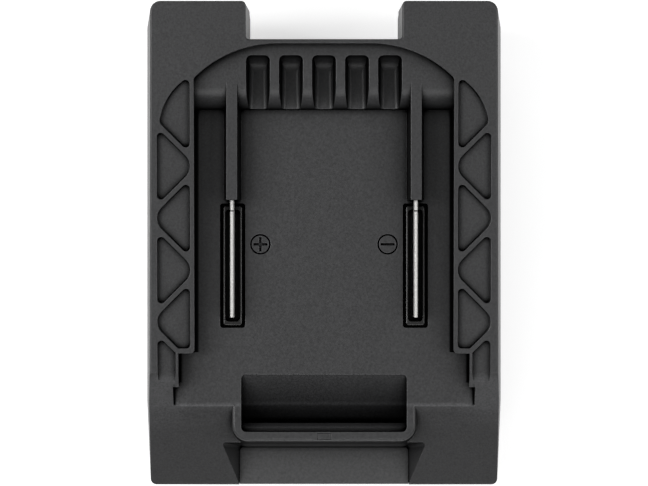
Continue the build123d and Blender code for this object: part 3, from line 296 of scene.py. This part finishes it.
finishes = {
    "upper_shell_plastic": moulded("upper_shell_plastic", CHARCOAL, roughness=0.42, **SHELL_GRAIN),
    "lower_shell_plastic": moulded("lower_shell_plastic", SOOT, roughness=0.42, **SHELL_GRAIN),
    "insert_plastic": moulded(
        "insert_plastic", BLACK, 0.0006, 0.000006, 0.22, edge=0.0003, edge_highlight_gain=3.5, speckle=0.05),
    "blade_metal": sheared_metal("blade_metal", NICKEL, 0.40, metallic=0.6),
    "strap_metal": sheared_metal("strap_metal", TINNED_COPPER, 0.30),
    "clip_metal": sheared_metal("clip_metal", BRONZE, 0.30),
    "block_plastic": moulded("block_plastic", INK, roughness=0.40, **INNER_GRAIN),
    "retainer_plastic": moulded("retainer_plastic", INK, roughness=0.40, **INNER_GRAIN),
    "spring_steel": coated_steel("spring_steel", BRIGHT_STEEL, 0.28),
    "screw_steel": coated_steel("screw_steel", BLACK_ZINC, 0.36),
    "slide_plastic": moulded("slide_plastic", INK, roughness=0.38, **INNER_GRAIN),
    "button_plastic": moulded("button_plastic", ASH, 0.0006, 0.00006, 0.48, speckle=0.32),
}

# The start of a CAD node's name, and the finish that it gets. All other nodes are screws.
finish_by_start = {
    "upper_shell": "upper_shell_plastic",
    "lower_shell": "lower_shell_plastic",
    "blade_insert": "insert_plastic",
    "blade_positive": "blade_metal",
    "blade_negative": "blade_metal",
    "bus_bar": "strap_metal",
    "tool_clip": "clip_metal",
    "terminal_block": "block_plastic",
    "contact_retainer": "retainer_plastic",
    "latch_spring": "spring_steel",
    "latch_slide": "slide_plastic",
    "thumb_button": "button_plastic",
}


def finish_of(node):
    if node.endswith("_screws"):
        return finishes["screw_steel"]
    return next(finishes[finish] for start, finish in finish_by_start.items() if node.startswith(start))


for name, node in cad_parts.items():
    if not node.material_slots:
        node.data.materials.append(None)
    for slot in node.material_slots:
        slot.link = "OBJECT"
        slot.material = finish_of(name)


def coil(name, node):
    """A copy of a latch spring in its place, with the spring finish. The CAD node that it copies is hidden."""
    piece = bpy.data.objects.new(name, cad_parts[node].data.copy())
    piece.matrix_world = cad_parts[node].matrix_world.copy()
    bpy.context.scene.collection.objects.link(piece)
    piece.material_slots[0].material = finishes["spring_steel"]
    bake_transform(piece)
    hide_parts(node)


bpy.context.view_layer.update()
coil("coil_left", "latch_spring_left")
coil("coil_right", "latch_spring_right")


FLOOR_SIZE = 8.0
FLOOR_HEIGHT = -0.00005
FLOOR_GLOW = 0.58
FLOOR_GLOW_MIRRORED = 0.6


def floor_material():
    """Pale floor that looks white to the camera and in reflections, and is see-through from below."""
    t = Tree("studio_floor")
    t.set(Base_Color=t.scaled((0.80, 0.80, 0.80), t.spread(t.noise(0.05, 3.0, 0.5), 0.99, 1.01)))
    t.set(Roughness=0.9, Emission_Color=(1, 1, 1, 1))
    path = t.nodes.new("ShaderNodeLightPath").outputs
    mirrored = t.math("ADD", path["Is Glossy Ray"], path["Is Transmission Ray"], True)
    seen = t.product(path["Is Camera Ray"], FLOOR_GLOW)
    t.set(Emission_Strength=t.math("ADD", seen, t.product(mirrored, FLOOR_GLOW_MIRRORED)))
    mix = t.nodes.new("ShaderNodeMixShader")
    t.links.new(t.nodes.new("ShaderNodeNewGeometry").outputs["Backfacing"], mix.inputs[0])
    t.links.new(t.shader.outputs[0], mix.inputs[1])
    t.links.new(t.nodes.new("ShaderNodeBsdfTransparent").outputs[0], mix.inputs[2])
    t.links.new(mix.outputs[0], t.nodes["Material Output"].inputs["Surface"])
    return t.material


def flat_plane(name, size, height, material):
    mesh = bpy.data.meshes.new(name)
    s = size / 2
    corners = [(-s, -s, height), (s, -s, height), (s, s, height), (-s, s, height)]
    mesh.from_pydata(corners, [], [(0, 1, 2, 3)])
    mesh.materials.append(material)
    plane = bpy.data.objects.new(name, mesh)
    bpy.context.scene.collection.objects.link(plane)
    return plane


flat_plane("studio_floor", FLOOR_SIZE, FLOOR_HEIGHT, floor_material())

world = bpy.data.worlds.new("studio")
bpy.context.scene.world = world
world.use_nodes = True
background = world.node_tree.nodes["Background"]
background.inputs["Color"].default_value = (0.03, 0.03, 0.03, 1)
background.inputs["Strength"].default_value = 1.0

LIT_POINT = Vector((0, 0, 0.04))


def softbox(name, place, size, power):
    data = bpy.data.lights.new(name, "AREA")
    data.shape = "RECTANGLE"
    data.size, data.size_y = size
    data.energy = power
    light = bpy.data.objects.new(name, data)
    light.location = place
    light.rotation_euler = (LIT_POINT - Vector(place)).to_track_quat("-Z", "Y").to_euler()
    bpy.context.scene.collection.objects.link(light)


softbox("overhead", (0.0, 0.0, 1.55), (1.2, 1.2), 2.0)
softbox("left", (-0.95, 0.10, 1.05), (0.55, 0.9), 11.8)
softbox("right", (0.95, -0.10, 1.05), (0.55, 0.9), 6.1)
softbox("front", (0.0, -1.02, 1.06), (0.9, 0.5), 5.4)
softbox("back", (0.0, 0.95, 1.00), (0.9, 0.5), 2.2)

# The photo looks straight down, so the camera keeps its own direction, which is down.
TOP_FACE_HEIGHT = 0.0475
CAMERA_DISTANCE = 0.600

camera_data = bpy.data.cameras.new("camera")
camera_data.sensor_width = 36.0
camera_data.lens = 155.05
camera_data.clip_start = 0.01
camera = bpy.data.objects.new("camera", camera_data)
camera.location = (0.0, 0.00073, TOP_FACE_HEIGHT + CAMERA_DISTANCE)
bpy.context.scene.collection.objects.link(camera)
bpy.context.scene.camera = camera
bpy.context.scene.view_settings.view_transform = "Standard"
